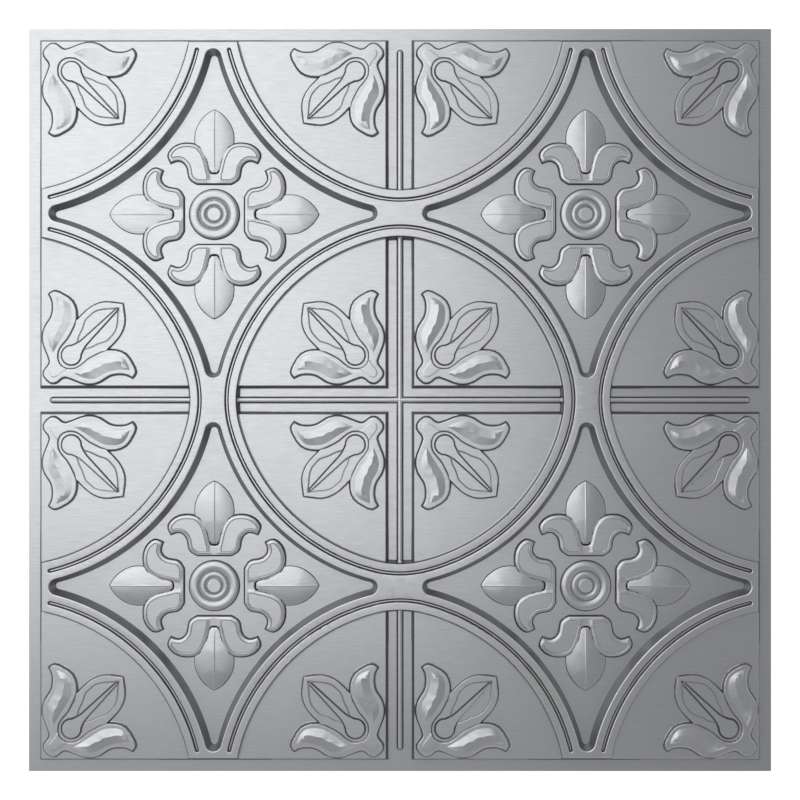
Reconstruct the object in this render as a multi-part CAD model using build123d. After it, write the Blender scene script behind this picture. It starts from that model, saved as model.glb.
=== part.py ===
from build123d import *
import os
from math import atan2, degrees, radians, sqrt, tan

# A square ceiling tile, drawn from one thin plastic sheet, lying face up.
# X and Y run along its edges and Z stands out of the decorated face.
# The origin is at the middle of the underside. Sizes are in millimetres.

# Sheet
TILE = 603.0  # edge of the square
SHEET = 0.7  # thickness of the level stretches
WALL = 0.6  # thickness of the drawn walls, measured level

# Heights over the face of the flange
RING_RISE = 8.0
PANEL_RISE = 5.0
LEAF_RISE = 2.5  # over the panel
ROSETTE_RISE = 2.5
BEAD_RISE = 2.0

# Slope of the drawn walls from upright, in degrees
PANEL_DRAFT = 23.0
RING_DRAFT = 16.0
DIAMOND_DRAFT = 26.0

# Ring pattern. Rings stand round the tile's middle, its corners and the middles
# of its edges. Each quarter of a ring is an arc about a point set back from the
# ring's middle, and a tighter arc about a point on the axis joins two quarters.
CHANNEL = 11.6  # half width of a channel, and width of the flange, at the panels' top
ARC_SHIFT = 19.3  # how far an arc's centre is set back along X and along Y
JOIN_SHIFT = 54.0  # from the ring's middle to the centre of the joining arc
BAND = 14.4  # width of a ring's raised band
GROOVE_WIDTH = 3.8
GROOVE_DEPTH = 1.6
GROOVE_INSET = 7.0  # from the band's outer edge to the groove's middle
GROOVE_END = 17.2  # from the end of a cut ring's groove to the tile's edge

# Diamonds, the pits between four rings
NECK = 2.7  # width that two sides of a diamond would narrow to, were they not capped
BRIDGE = 35.5  # raised ground between the tips of two diamonds

# Bead along the middle of each channel
BEAD_WIDTH = 5.7
BEAD_END = 16.8  # from its outer end to the tile's edge

# Rosette in each diamond: a button and two rings, parted by narrow grooves, and
# four collars that each hold a petal
BUTTON = 6.6
MIDDLE_RING = 12.0
ROSETTE_RING = 20.3
ROSETTE_GROOVE_WIDTH = 1.2
ROSETTE_GROOVE_DEPTH = 1.2
COLLAR_GAP = 4.3  # between the outer ring and a collar

# Worked out from the sizes above
PITCH = TILE / 2
CELL = PITCH / 2
OUTER_ARC = CELL + ARC_SHIFT - NECK / 2
INNER_ARC = OUTER_ARC - BAND
GROOVE_ARC = OUTER_ARC - GROOVE_INSET
ON_THE_GROUND = (Align.CENTER, Align.CENTER, Align.MIN)
IN_THE_CORNER = (Align.MIN, Align.MIN, Align.MIN)


def run(rise, draft):
    """Level distance that a wall of this rise and slope covers."""
    return rise * tan(radians(draft))


def arc(centre, radius, start, end):
    """Arc about a centre, from one angle to another, in degrees."""
    return CenterArc(centre, radius, start, end - start)


def in_each_quarter(shape):
    """Copies of a shape turned into the four quarters about Z."""
    return [Rot(0, 0, 90 * step) * shape for step in range(4)]


def ring_face(radius):
    """Face inside a ring whose quarters are arcs of this radius."""
    between = sqrt((JOIN_SHIFT + ARC_SHIFT) ** 2 + ARC_SHIFT**2)
    turn = degrees(atan2(ARC_SHIFT, JOIN_SHIFT + ARC_SHIFT))
    quarter = arc((-ARC_SHIFT, -ARC_SHIFT), radius, turn, 90 - turn)
    join = arc((JOIN_SHIFT, 0), radius - between, -turn, turn)
    return make_face(in_each_quarter(quarter) + in_each_quarter(join))


def diamond_face(inset):
    """A diamond's top edge moved inwards: four hollow sides that follow the rings, and round tips."""
    radius = OUTER_ARC + inset
    far = CELL + ARC_SHIFT
    tip = CELL - BRIDGE / 2 - inset
    past = far - tip
    cap_radius = (past**2 + far**2 - radius**2) / (2 * (radius - past))
    turn = degrees(atan2(far, past + cap_radius))
    side = arc((far, far), radius, 270 - turn, 180 + turn)
    cap = arc((tip - cap_radius, 0), cap_radius, -turn, turn)
    return make_face(in_each_quarter(side) + in_each_quarter(cap))


def outline_face(half, mirrored, inset):
    """Face inside an outline given by one half, as stretches of curve that meet at corners.

    The other half is its mirror image, and the whole outline moves inwards by the inset.
    """
    other = [[mirrored(*point) for point in reversed(stretch)] for stretch in reversed(half)]
    stretches = [[Vector(*point) for point in stretch] for stretch in half + other]
    points = [point for stretch in stretches for point in stretch[:-1]]
    count = len(points)
    sides = [(points[(i + 1) % count] - points[i]).normalized() for i in range(count)]
    area = sum(points[i - 1].X * points[i].Y - points[i].X * points[i - 1].Y for i in range(count))
    inwards = inset if area > 0 else -inset
    moved = []
    for i in range(count):
        before, after = (Vector(-side.Y, side.X) for side in (sides[i - 1], sides[i]))
        moved.append(points[i] + (before + after) * (inwards / (1 + before.dot(after))))
    edges = []
    first = 0
    for stretch in stretches:
        last = first + len(stretch) - 1
        through = [moved[i % count] for i in range(first, last + 1)]
        edges.append(Line(*through) if len(through) == 2 else Spline(*through))
        first = last
    return make_face(edges)


def leaf_face(inset):
    """A leaf sprig, from the corner of its panel's top along the diagonal."""
    root = [(4.6, 4.6), (7.8, 2.2), (12.9, 2.7), (17.5, 6.2), (20.1, 6.8)]
    back = [
        (20.1, 6.8), (26.1, 4.6), (34.1, 1.6), (42.2, 1.2), (48.6, 3.6),
        (55.0, 7.6), (63.1, 9.3), (71.1, 7.8), (73.9, 6.2),
    ]
    front = [(73.9, 6.2), (76.4, 10.0), (74.3, 17.5), (69.0, 25.0), (60.9, 28.7), (53.4, 29.0)]
    middle = [(53.4, 29.0), (59.9, 35.5), (65.3, 43.2), (67.7, 51.8), (66.9, 60.4), (66.2, 66.2)]
    return outline_face([root, back, front, middle], lambda x, y: (y, x), inset)


def collar_face(inset):
    """A collar, a flat bar with two curled lobes, from the middle of its bar along +X."""
    bar = [(0, 0), (0, 13.8)]
    neck = [(0, 13.8), (4.5, 20.0), (13.5, 22.2), (18.7, 27.9), (17.0, 35.2)]
    curl = [(17.0, 35.2), (23.2, 37.5), (29.8, 33.0), (33.1, 22.6), (24.9, 6.9), (13.5, 3.5), (7.9, 0)]
    return outline_face([bar, neck, curl], lambda x, y: (x, -y), inset)


def petal_face(inset):
    """A petal, which grows along +X out of its collar."""
    root = [(9.2, 0), (9.2, 2.3)]
    side = [(9.2, 2.3), (23.4, 7.5), (39.1, 15.1), (52.4, 9.5), (60.4, 0)]
    return outline_face([root, side], lambda x, y: (x, -y), inset)


def plateau(top, inset):
    """Body of the ring bands, with the rings' insides and the diamond cut out."""
    level = RING_RISE + top
    edge = TILE / 2 - CHANNEL + run(PANEL_RISE + SHEET, PANEL_DRAFT) - inset
    body = extrude(Rectangle(2 * edge, 2 * edge), level, taper=PANEL_DRAFT)
    foot = INNER_ARC - run(RING_RISE + SHEET, RING_DRAFT) + inset
    inside = extrude(ring_face(foot), level, taper=-RING_DRAFT)
    pit = extrude(diamond_face(run(RING_RISE + SHEET, DIAMOND_DRAFT) - inset), level, taper=-DIAMOND_DRAFT)
    body -= [Pos(PITCH * i, PITCH * j) * inside for i in (0, 1) for j in (0, 1)]
    return body - Pos(CELL, CELL) * pit


def grooves(top, inset):
    """The narrow groove that runs round each ring band."""
    floor = RING_RISE + top - GROOVE_DEPTH
    half = GROOVE_WIDTH / 2 + inset
    band = ring_face(GROOVE_ARC + half) - ring_face(GROOVE_ARC - half)
    edge = TILE / 2 - GROOVE_END + inset
    field = Rectangle(2 * edge, 2 * edge)
    bands = [(Pos(PITCH * i, PITCH * j) * band) & field for i in (0, 1) for j in (0, 1)]
    return [Pos(0, 0, floor) * extrude(face, 2 * GROOVE_DEPTH) for face in bands]


def panels(top, inset):
    """The four raised panels round a diamond, each with its leaf sprig."""
    edge = CHANNEL - run(PANEL_RISE + SHEET, PANEL_DRAFT) + inset
    quarter = Pos(edge, edge) * Rectangle(CELL, CELL, align=(Align.MIN, Align.MIN))
    face = ring_face((INNER_ARC + GROOVE_ARC) / 2) & quarter
    panel = extrude(face, PANEL_RISE + top, taper=PANEL_DRAFT)
    panel += Pos(CHANNEL, CHANNEL) * extrude(leaf_face(inset), PANEL_RISE + LEAF_RISE + top)
    return [Pos(CELL, CELL) * turned for turned in in_each_quarter(Pos(-CELL, -CELL) * panel)]


def rosette(top, inset):
    """Button and rings, four collars and four petals, in the middle of the diamond."""
    level = ROSETTE_RISE + top
    rings = extrude(Circle(ROSETTE_RING - inset), level)
    for inner in (BUTTON, MIDDLE_RING):
        groove = Circle(inner + ROSETTE_GROOVE_WIDTH + inset) - Circle(inner - inset)
        rings -= Pos(0, 0, level - ROSETTE_GROOVE_DEPTH) * extrude(groove, ROSETTE_RISE)
    spray = Pos(ROSETTE_RING + COLLAR_GAP, 0) * extrude(collar_face(inset) + petal_face(inset), level)
    return [Pos(CELL, CELL) * part for part in [rings] + in_each_quarter(spray)]


def beads(top, inset):
    """Half-round beads along the channels, down to the underside of the sheet."""
    radius = (BEAD_WIDTH**2 / 4 + BEAD_RISE**2) / (2 * BEAD_RISE)
    middle = SHEET + BEAD_RISE - radius
    reach = ring_face(INNER_ARC).bounding_box().max.X
    end = TILE / 2 - BEAD_END - radius
    inner_rod = Rot(0, 90, 0) * Cylinder(radius - inset, 2 * reach)
    outer_rod = Pos((end + PITCH - reach) / 2, 0) * Rot(0, 90, 0) * Cylinder(radius - inset, end - PITCH + reach)
    rods = [inner_rod, outer_rod + Pos(end, 0) * Sphere(radius - inset)]
    above = Box(2 * TILE, 2 * TILE, 2 * radius, align=ON_THE_GROUND)
    return [(Pos(0, 0, middle) * Rot(0, 0, turn) * rod) & above for rod in rods for turn in (0, 90)]


def relief(top, inset):
    """Body of the relief in one quarter: its levels raised by top, its walls set in."""
    body = plateau(top, inset) - grooves(top, inset)
    return body + panels(top, inset) + rosette(top, inset) + beads(top, inset)


def quarter_tile():
    """One quarter of the sheet: the relief over its flange, less the same relief under it."""
    flange = Box(PITCH, PITCH, SHEET, align=IN_THE_CORNER)
    quarter = Box(PITCH, PITCH, 2 * RING_RISE, align=IN_THE_CORNER)
    return (flange + relief(SHEET, 0) - relief(0, WALL)) & quarter


def ceiling_tile():
    """The whole sheet, one quarter and its mirror images fused at the middle lines."""
    quarter = quarter_tile()
    across = mirror(quarter, Plane.YZ)
    return quarter.fuse(across, mirror(quarter, Plane.XZ), mirror(across, Plane.XZ))


os.makedirs("parts", exist_ok=True)
export_step(ceiling_tile(), "parts/ceiling_tile.step")
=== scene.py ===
"""A pressed ceiling tile in silver film over thin plastic, seen face on.

The tile lies face up. Its relief repeats a single triangle of pattern 32 times:
that triangle is worked out here as a height over the flange, meshed along its
own edges, and laid out over the square by Geometry Nodes.

Sizes of the pattern are in millimetres, and Blender's objects are in metres.
"""

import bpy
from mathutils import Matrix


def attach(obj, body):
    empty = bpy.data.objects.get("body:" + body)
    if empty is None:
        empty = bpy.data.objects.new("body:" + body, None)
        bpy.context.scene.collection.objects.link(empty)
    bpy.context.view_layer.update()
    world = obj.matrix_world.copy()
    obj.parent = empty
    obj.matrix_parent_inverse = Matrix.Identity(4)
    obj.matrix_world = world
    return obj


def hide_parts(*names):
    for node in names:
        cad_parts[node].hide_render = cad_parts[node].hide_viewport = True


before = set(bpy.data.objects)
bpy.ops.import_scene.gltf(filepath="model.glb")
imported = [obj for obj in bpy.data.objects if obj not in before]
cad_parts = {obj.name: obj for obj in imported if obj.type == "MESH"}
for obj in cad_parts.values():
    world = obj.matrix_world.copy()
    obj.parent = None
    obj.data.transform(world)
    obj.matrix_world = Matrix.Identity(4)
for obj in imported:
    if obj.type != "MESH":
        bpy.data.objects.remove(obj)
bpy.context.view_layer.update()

import logging
import math
from collections.abc import Callable
from dataclasses import dataclass, field
from enum import Enum

import bpy
import numpy as np
from mathutils import Vector
from mathutils.geometry import delaunay_2d_cdt

LOG = logging.getLogger("ceiling_tile")
MM = 0.001
NODE = "ceiling_tile"
SLOT = "silver_film"
PIECE = "silver_ceiling_tile"

STEP = 0.5  # distance between two points of a curve, before it is simplified
STRAIGHT_STEP = 2.0  # the same on a straight line
BLOCK = 2048  # points whose distances are worked out at a time
SAME_PLACE = 1e-6  # points that are closer than this are one
SMALLEST = 1e-9  # keeps a length that something is divided by above zero
BELOW = -1.0  # a level that lies under every face of the sheet

Points = np.ndarray
Link = Callable[[bpy.types.NodeSocket, bpy.types.NodeSocket], object]
Tree = bpy.types.GeometryNodeTree
Socket = bpy.types.NodeSocket


class Edge(Enum):
    """What lies along the axis edge of a triangle of pattern."""

    MIDDLE = "middle"  # a channel whose bead runs on through the ring's middle
    INNER = "inner"  # a channel whose bead starts near the tile's edge
    BORDER = "border"  # the tile's own edge


class Side(Enum):
    """The two faces of the thin sheet."""

    FRONT = "front"
    BACK = "back"


def smooth_curve(knots: Points, step: float = STEP) -> Points:
    """Points along a smooth curve through the knots.

    Args:
        knots: The points to pass through, one row each.
        step: Distance between the curve's points.

    Returns:
        The curve's points, from the first knot to the last.
    """
    knots = np.asarray(knots, float)
    if len(knots) < 3:
        count = max(1, int(np.linalg.norm(knots[1] - knots[0]) / step))
        return knots[0] + np.linspace(0, 1, count + 1)[:, None] * (knots[1] - knots[0])
    gaps = np.linalg.norm(np.diff(knots, axis=0), axis=1)
    count = len(knots)
    system = np.zeros((count, count))
    sides = np.zeros((count, 2))
    system[0, :2] = 2.0, 1.0
    system[-1, -2:] = 1.0, 2.0
    rates = np.diff(knots, axis=0) / gaps[:, None]
    sides[0], sides[-1] = 3 * rates[0], 3 * rates[-1]
    for i in range(1, count - 1):
        system[i, i - 1] = gaps[i]
        system[i, i] = 2 * (gaps[i - 1] + gaps[i])
        system[i, i + 1] = gaps[i - 1]
        sides[i] = 3 * (rates[i - 1] * gaps[i] + rates[i] * gaps[i - 1])
    slopes = np.linalg.solve(system, sides)
    parts = []
    for i, gap in enumerate(gaps):
        t = np.linspace(0, 1, max(2, int(gap / step) + 1))[:-1, None]
        parts.append(
            knots[i] * (2 * t**3 - 3 * t**2 + 1)
            + knots[i + 1] * (3 * t**2 - 2 * t**3)
            + slopes[i] * gap * (t**3 - 2 * t**2 + t)
            + slopes[i + 1] * gap * (t**3 - t**2)
        )
    return np.vstack(parts + [knots[-1:]])


def arc_points(centre: tuple[float, float], radius: float, start: float, end: float) -> Points:
    """Points along an arc.

    Args:
        centre: Centre of the arc.
        radius: Its radius.
        start: The angle that it starts at, in degrees.
        end: The angle that it ends at, in degrees.

    Returns:
        The arc's points, one row each.
    """
    fewest = 4
    count = max(fewest, int(abs(radius * math.radians(end - start)) / STEP))
    turn = np.radians(np.linspace(start, end, count + 1))
    return np.asarray(centre) + radius * np.column_stack((np.cos(turn), np.sin(turn)))


def joined(*stretches: Points) -> Points:
    """One line out of several that follow each other.

    Args:
        stretches: The lines, each starting where the last one ends.

    Returns:
        The whole line, with no point twice in a row.
    """
    line = np.vstack(stretches)
    apart = np.linalg.norm(np.diff(line, axis=0), axis=1) > SAME_PLACE
    return line[np.concatenate(([True], apart))]


def mirrored(line: Points) -> Points:
    """The line's mirror image across the diagonal, run the other way."""
    return line[::-1, ::-1]


def simplified(line: Points, slack: float, longest: float) -> Points:
    """The fewest of a line's points that keep its shape.

    Args:
        line: The points of the line.
        slack: How far the line may move.
        longest: The longest distance to leave between two points.

    Returns:
        The points that are kept.
    """
    keep = {0, len(line) - 1}
    spans = [(0, len(line) - 1)]
    while spans:
        a, b = spans.pop()
        if b - a < 2:
            continue
        chord = line[b] - line[a]
        length = np.linalg.norm(chord)
        inner = line[a + 1 : b] - line[a]
        if length < SMALLEST:
            off = np.linalg.norm(inner, axis=1)
        else:
            off = np.abs(inner[:, 0] * chord[1] - inner[:, 1] * chord[0]) / length
        worst = int(np.argmax(off))
        if off[worst] > slack or length > longest:
            middle = a + 1 + worst if off[worst] > slack else (a + b) // 2
            keep.add(middle)
            spans += [(a, middle), (middle, b)]
    return line[sorted(keep)]


def distance_to(points: Points, line: Points) -> Points:
    """Distance from each point to the nearest place on a line.

    Args:
        points: The points, one row each.
        line: The points of the line.

    Returns:
        One distance for each point.
    """
    out = np.empty(len(points))
    start, along = line[:-1], np.diff(line, axis=0)
    square = np.maximum((along**2).sum(1), SMALLEST)
    for first in range(0, len(points), BLOCK):
        part = points[first : first + BLOCK, None] - start[None]
        share = np.clip((part * along).sum(2) / square, 0, 1)
        gap = part - share[..., None] * along
        out[first : first + BLOCK] = np.sqrt((gap**2).sum(2).min(1))
    return out


def is_inside(points: Points, outline: Points) -> Points:
    """Whether each point lies inside a closed outline.

    Args:
        points: The points, one row each.
        outline: The outline's points, the first one only once.

    Returns:
        One answer for each point.
    """
    out = np.zeros(len(points), bool)
    a, b = outline, np.roll(outline, -1, axis=0)
    for first in range(0, len(points), BLOCK):
        part = points[first : first + BLOCK]
        x, y = part[:, 0, None], part[:, 1, None]
        crosses = (a[:, 1] > y) != (b[:, 1] > y)
        rise = np.where(b[:, 1] == a[:, 1], 1.0, b[:, 1] - a[:, 1])
        where = a[:, 0] + (y - a[:, 1]) * (b[:, 0] - a[:, 0]) / rise
        out[first : first + BLOCK] = (crosses & (x < where)).sum(1) % 2 == 1
    return out


class Outline:
    """A closed outline, with the depth of any point inside it."""

    margin: float = 6.0  # how far outside the outline a depth is still worked out
    sharpest: float = 0.35  # stops a sharp corner from moving too far when the line is inset
    in_place: float = 0.97  # share of its depth that an inset point has to reach
    parting: float = 4.0  # a gap wider than this parts an inset line in two

    def __init__(self, line: Points) -> None:
        """Keep the outline's points and the box round them.

        Args:
            line: The outline's points, the first one only once.
        """
        self.line = line
        self.closed = np.vstack((line, line[:1]))
        self.low, self.high = line.min(0) - self.margin, line.max(0) + self.margin

    def depth(self, points: Points) -> Points:
        """Depth of each point inside the outline.

        Args:
            points: The points, one row each.

        Returns:
            The distance to the outline, positive inside and negative outside.
        """
        out = np.full(len(points), -self.margin)
        near = ((points > self.low) & (points < self.high)).all(1)
        if near.any():
            close = points[near]
            gap = distance_to(close, self.closed)
            out[near] = np.where(is_inside(close, self.line), gap, -gap)
        return out

    def inset(self, depth: float) -> list[Points]:
        """Lines at one depth inside the outline.

        Args:
            depth: The depth, which is negative for a line outside.

        Returns:
            The lines, of which there are several where the outline is too narrow for one.
        """
        ahead = np.diff(self.closed, axis=0)
        ahead /= np.maximum(np.linalg.norm(ahead, axis=1), SMALLEST)[:, None]
        x, y = self.line[:, 0], self.line[:, 1]
        turn = 1.0 if (x * np.roll(y, -1) - np.roll(x, -1) * y).sum() > 0 else -1.0
        before = np.roll(ahead, 1, axis=0)
        square = np.column_stack((-(before + ahead)[:, 1], (before + ahead)[:, 0]))
        share = np.maximum(1 + (before * ahead).sum(1), self.sharpest)
        moved = self.line + square * (turn * depth / share)[:, None]
        fits = np.abs(self.depth(moved)) > abs(depth) * self.in_place - SAME_PLACE
        if fits.all():
            return [np.vstack((moved, moved[:1]))]
        first = int(np.argmin(fits))
        kept = np.roll(moved, -first, axis=0)[np.roll(fits, -first)]
        cuts = np.flatnonzero(np.linalg.norm(np.diff(kept, axis=0), axis=1) > self.parting) + 1
        return [run for run in np.split(kept, cuts) if len(run) > 1]


def bend(gap: Points, half: float) -> Points:
    """Zero below zero and the gap itself above it, with the corner rounded over a half width."""
    return np.where(gap < -half, 0.0, np.where(gap > half, gap, (gap + half) ** 2 / (4 * half)))


def crest(gap: Points, half: float) -> Points:
    """One along a line and nothing beyond its half width, by the distance from the line."""
    return np.clip(1 - np.abs(gap) / half, 0.0, 1.0)


@dataclass(frozen=True)
class Ramp:
    """A straight slope between two levels, with both its corners rounded."""

    foot: float  # where the slope starts, along the way up
    run: float  # level distance that it covers
    rise: float  # height between the two levels
    soft: float = 0.35  # how far to each side a corner is rounded

    def height(self, reach: Points) -> Points:
        """Height over the lower level, for a distance along the way up."""
        gap = reach - self.foot
        return self.rise * (bend(gap, self.soft) - bend(gap - self.run, self.soft)) / self.run

    def stations(self, fine: bool) -> list[float]:
        """Distances at which the mesh has a line of points.

        Args:
            fine: Whether the slope's round corners get lines of their own.

        Returns:
            The distances along the way up.
        """
        top = self.foot + self.run
        if not fine:
            return [self.foot, top]
        return [self.foot - self.soft, self.foot + self.soft, top - self.soft, top, top + self.soft]


@dataclass(frozen=True)
class RingPlan:
    """Rings, channels and panels of the pattern, as the solid tile has them."""

    tile: float = 603.0  # edge of the square
    sheet: float = 0.7  # thickness of the level stretches
    wall: float = 0.6  # thickness of the sloping walls, measured level
    ring_rise: float = 8.0  # over the flange, as for the panels
    panel_rise: float = 5.0
    channel: float = 11.6  # half width of a channel, and width of the flange
    panel_draft: float = 23.0  # slope from upright, in degrees, as for the next two
    ring_draft: float = 16.0
    diamond_draft: float = 26.0
    arc_shift: float = 19.3  # from the ring's middle back to an arc's centre, along both axes
    join_shift: float = 54.0  # from the ring's middle to the joining arc's centre
    band: float = 14.4  # width of a ring's raised band
    groove_half: float = 1.9  # half the width of the groove in it
    groove_depth: float = 1.6
    groove_run: float = 1.25  # level width of the groove's wall
    groove_soft: float = 0.25
    groove_inset: float = 7.0  # from the band's outer edge to the groove's middle
    groove_end: float = 17.2  # from the end of a cut ring's groove to the tile's edge
    neck: float = 2.7  # width that two sides of a diamond would narrow to without its round tips
    bridge: float = 35.5  # raised ground between the tips of two diamonds
    bead_width: float = 5.7
    bead_rise: float = 2.0
    bead_end: float = 16.8  # from a bead's outer end to the tile's edge
    bead_reach: float = 82.0  # how far its lines run past the joining arc's centre

    @property
    def cell(self) -> float:
        """Half the distance between two rings."""
        return self.tile / 4

    @property
    def outer_arc(self) -> float:
        """Radius of a ring band's outer edge."""
        return self.cell + self.arc_shift - self.neck / 2

    @property
    def inner_arc(self) -> float:
        """Radius of a ring band's inner edge."""
        return self.outer_arc - self.band

    @property
    def groove_arc(self) -> float:
        """Radius of the groove's middle."""
        return self.outer_arc - self.groove_inset

    @property
    def bead_radius(self) -> float:
        """Radius of the bead's round section."""
        return (self.bead_width**2 / 4 + self.bead_rise**2) / (2 * self.bead_rise)

    @property
    def arc_centre(self) -> Points:
        """Centre of the arc that makes most of a quarter ring."""
        return np.array([-self.arc_shift, -self.arc_shift])

    @property
    def join_centre(self) -> Points:
        """Centre of the tighter arc that joins two quarters."""
        return np.array([self.join_shift, 0.0])

    @property
    def between(self) -> float:
        """Distance between the two centres."""
        return float(np.linalg.norm(self.join_centre - self.arc_centre))

    @property
    def join_angle(self) -> float:
        """Angle, in degrees, at which the two arcs meet."""
        return math.degrees(math.atan2(self.arc_shift, self.join_shift + self.arc_shift))

    @property
    def cap(self) -> tuple[Points, float, float]:
        """The round tip of a diamond.

        Returns:
            Its centre, its radius and its half angle in degrees.
        """
        far = self.cell + self.arc_shift
        past = far - self.cell + self.bridge / 2
        radius = (past**2 + far**2 - self.outer_arc**2) / (2 * (self.outer_arc - past))
        centre = np.array([self.cell, self.bridge / 2 + radius])
        return centre, radius, math.degrees(math.atan2(far, past + radius))

    def run(self, rise: float, draft: float) -> float:
        """Level distance that a wall of this rise and slope covers."""
        return rise * math.tan(math.radians(draft))

    def set_in(self, side: Side, draft: float) -> float:
        """How far a wall of the sheet's back stands inside the same wall of its front."""
        return 0.0 if side is Side.FRONT else self.wall - self.run(self.sheet, draft)

    def panel_wall(self, side: Side) -> Ramp:
        """Wall from the channel up to a panel, by the distance from the channel's middle."""
        run = self.run(self.panel_rise, self.panel_draft)
        return Ramp(self.channel - run + self.set_in(side, self.panel_draft), run, self.panel_rise)

    def margin_wall(self, side: Side) -> Ramp:
        """Wall from the flange up to a cut ring band, by the distance from the tile's edge."""
        foot = self.panel_wall(side).foot
        return Ramp(foot, self.run(self.ring_rise, self.panel_draft), self.ring_rise)

    def ring_wall(self, side: Side) -> Ramp:
        """Inner wall of the ring band, by the distance from the arc's centre."""
        run = self.run(self.ring_rise, self.ring_draft)
        return Ramp(self.inner_arc - run + self.set_in(side, self.ring_draft), run, self.ring_rise)

    def diamond_wall(self, side: Side) -> Ramp:
        """Wall down into the diamond, by the depth inside its top edge."""
        run = self.run(self.ring_rise, self.diamond_draft)
        return Ramp(-self.set_in(side, self.diamond_draft), run, self.ring_rise)

    def groove_wall(self, inset: float) -> Ramp:
        """Wall of the band's groove, by the distance from its middle taken as negative."""
        return Ramp(-self.groove_half - inset, self.groove_run, self.groove_depth, self.groove_soft)

    def ring_reach(self, points: Points) -> Points:
        """Distance from the arc's centre, carried on smoothly round the joining arc.

        Args:
            points: Places in the triangle.

        Returns:
            One distance for each place.
        """
        from_arc = points - self.arc_centre
        from_join = points - self.join_centre
        way = self.join_centre - self.arc_centre
        left = way[0] * from_arc[:, 1] - way[1] * from_arc[:, 0] > 0
        joined_reach = np.hypot(from_join[:, 0], from_join[:, 1]) + self.between
        return np.where(left, np.hypot(from_arc[:, 0], from_arc[:, 1]), joined_reach)

    def diamond_depth(self, points: Points) -> Points:
        """Depth inside the diamond's top edge.

        Args:
            points: Places in the triangle.

        Returns:
            One depth for each place, negative outside the diamond.
        """
        centre, radius, half_turn = self.cap
        away = points - centre
        turn = np.degrees(np.arctan2(np.abs(away[:, 0]), -away[:, 1]))
        in_tip = radius - np.hypot(away[:, 0], away[:, 1])
        from_arc = points - self.arc_centre
        beside = np.hypot(from_arc[:, 0], from_arc[:, 1]) - self.outer_arc
        return np.where(turn < half_turn, in_tip, beside)

    def ring_line(self, radius: float) -> Points:
        """Line along the ring, from the diagonal to the axis.

        Args:
            radius: Its distance from the arc's centre.

        Returns:
            The line's points.
        """
        arc = arc_points(tuple(self.arc_centre), radius, 45.0, self.join_angle)
        join = arc_points(tuple(self.join_centre), radius - self.between, self.join_angle, 0.0)
        return joined(arc, join)

    def diamond_line(self, depth: float) -> Points:
        """Line along the diamond's wall, from the diagonal to the diamond's axis.

        Args:
            depth: Its depth inside the diamond's top edge.

        Returns:
            The line's points.
        """
        centre, radius, half_turn = self.cap
        turn = math.radians(half_turn)
        from_arc = centre - radius * np.array([math.sin(turn), math.cos(turn)]) - self.arc_centre
        meets = math.degrees(math.atan2(from_arc[1], from_arc[0]))
        side = arc_points(tuple(self.arc_centre), self.outer_arc + depth, 45.0, meets)
        tip = arc_points(tuple(centre), radius - depth, 270.0 - half_turn, 270.0)
        return joined(side, tip)


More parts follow.
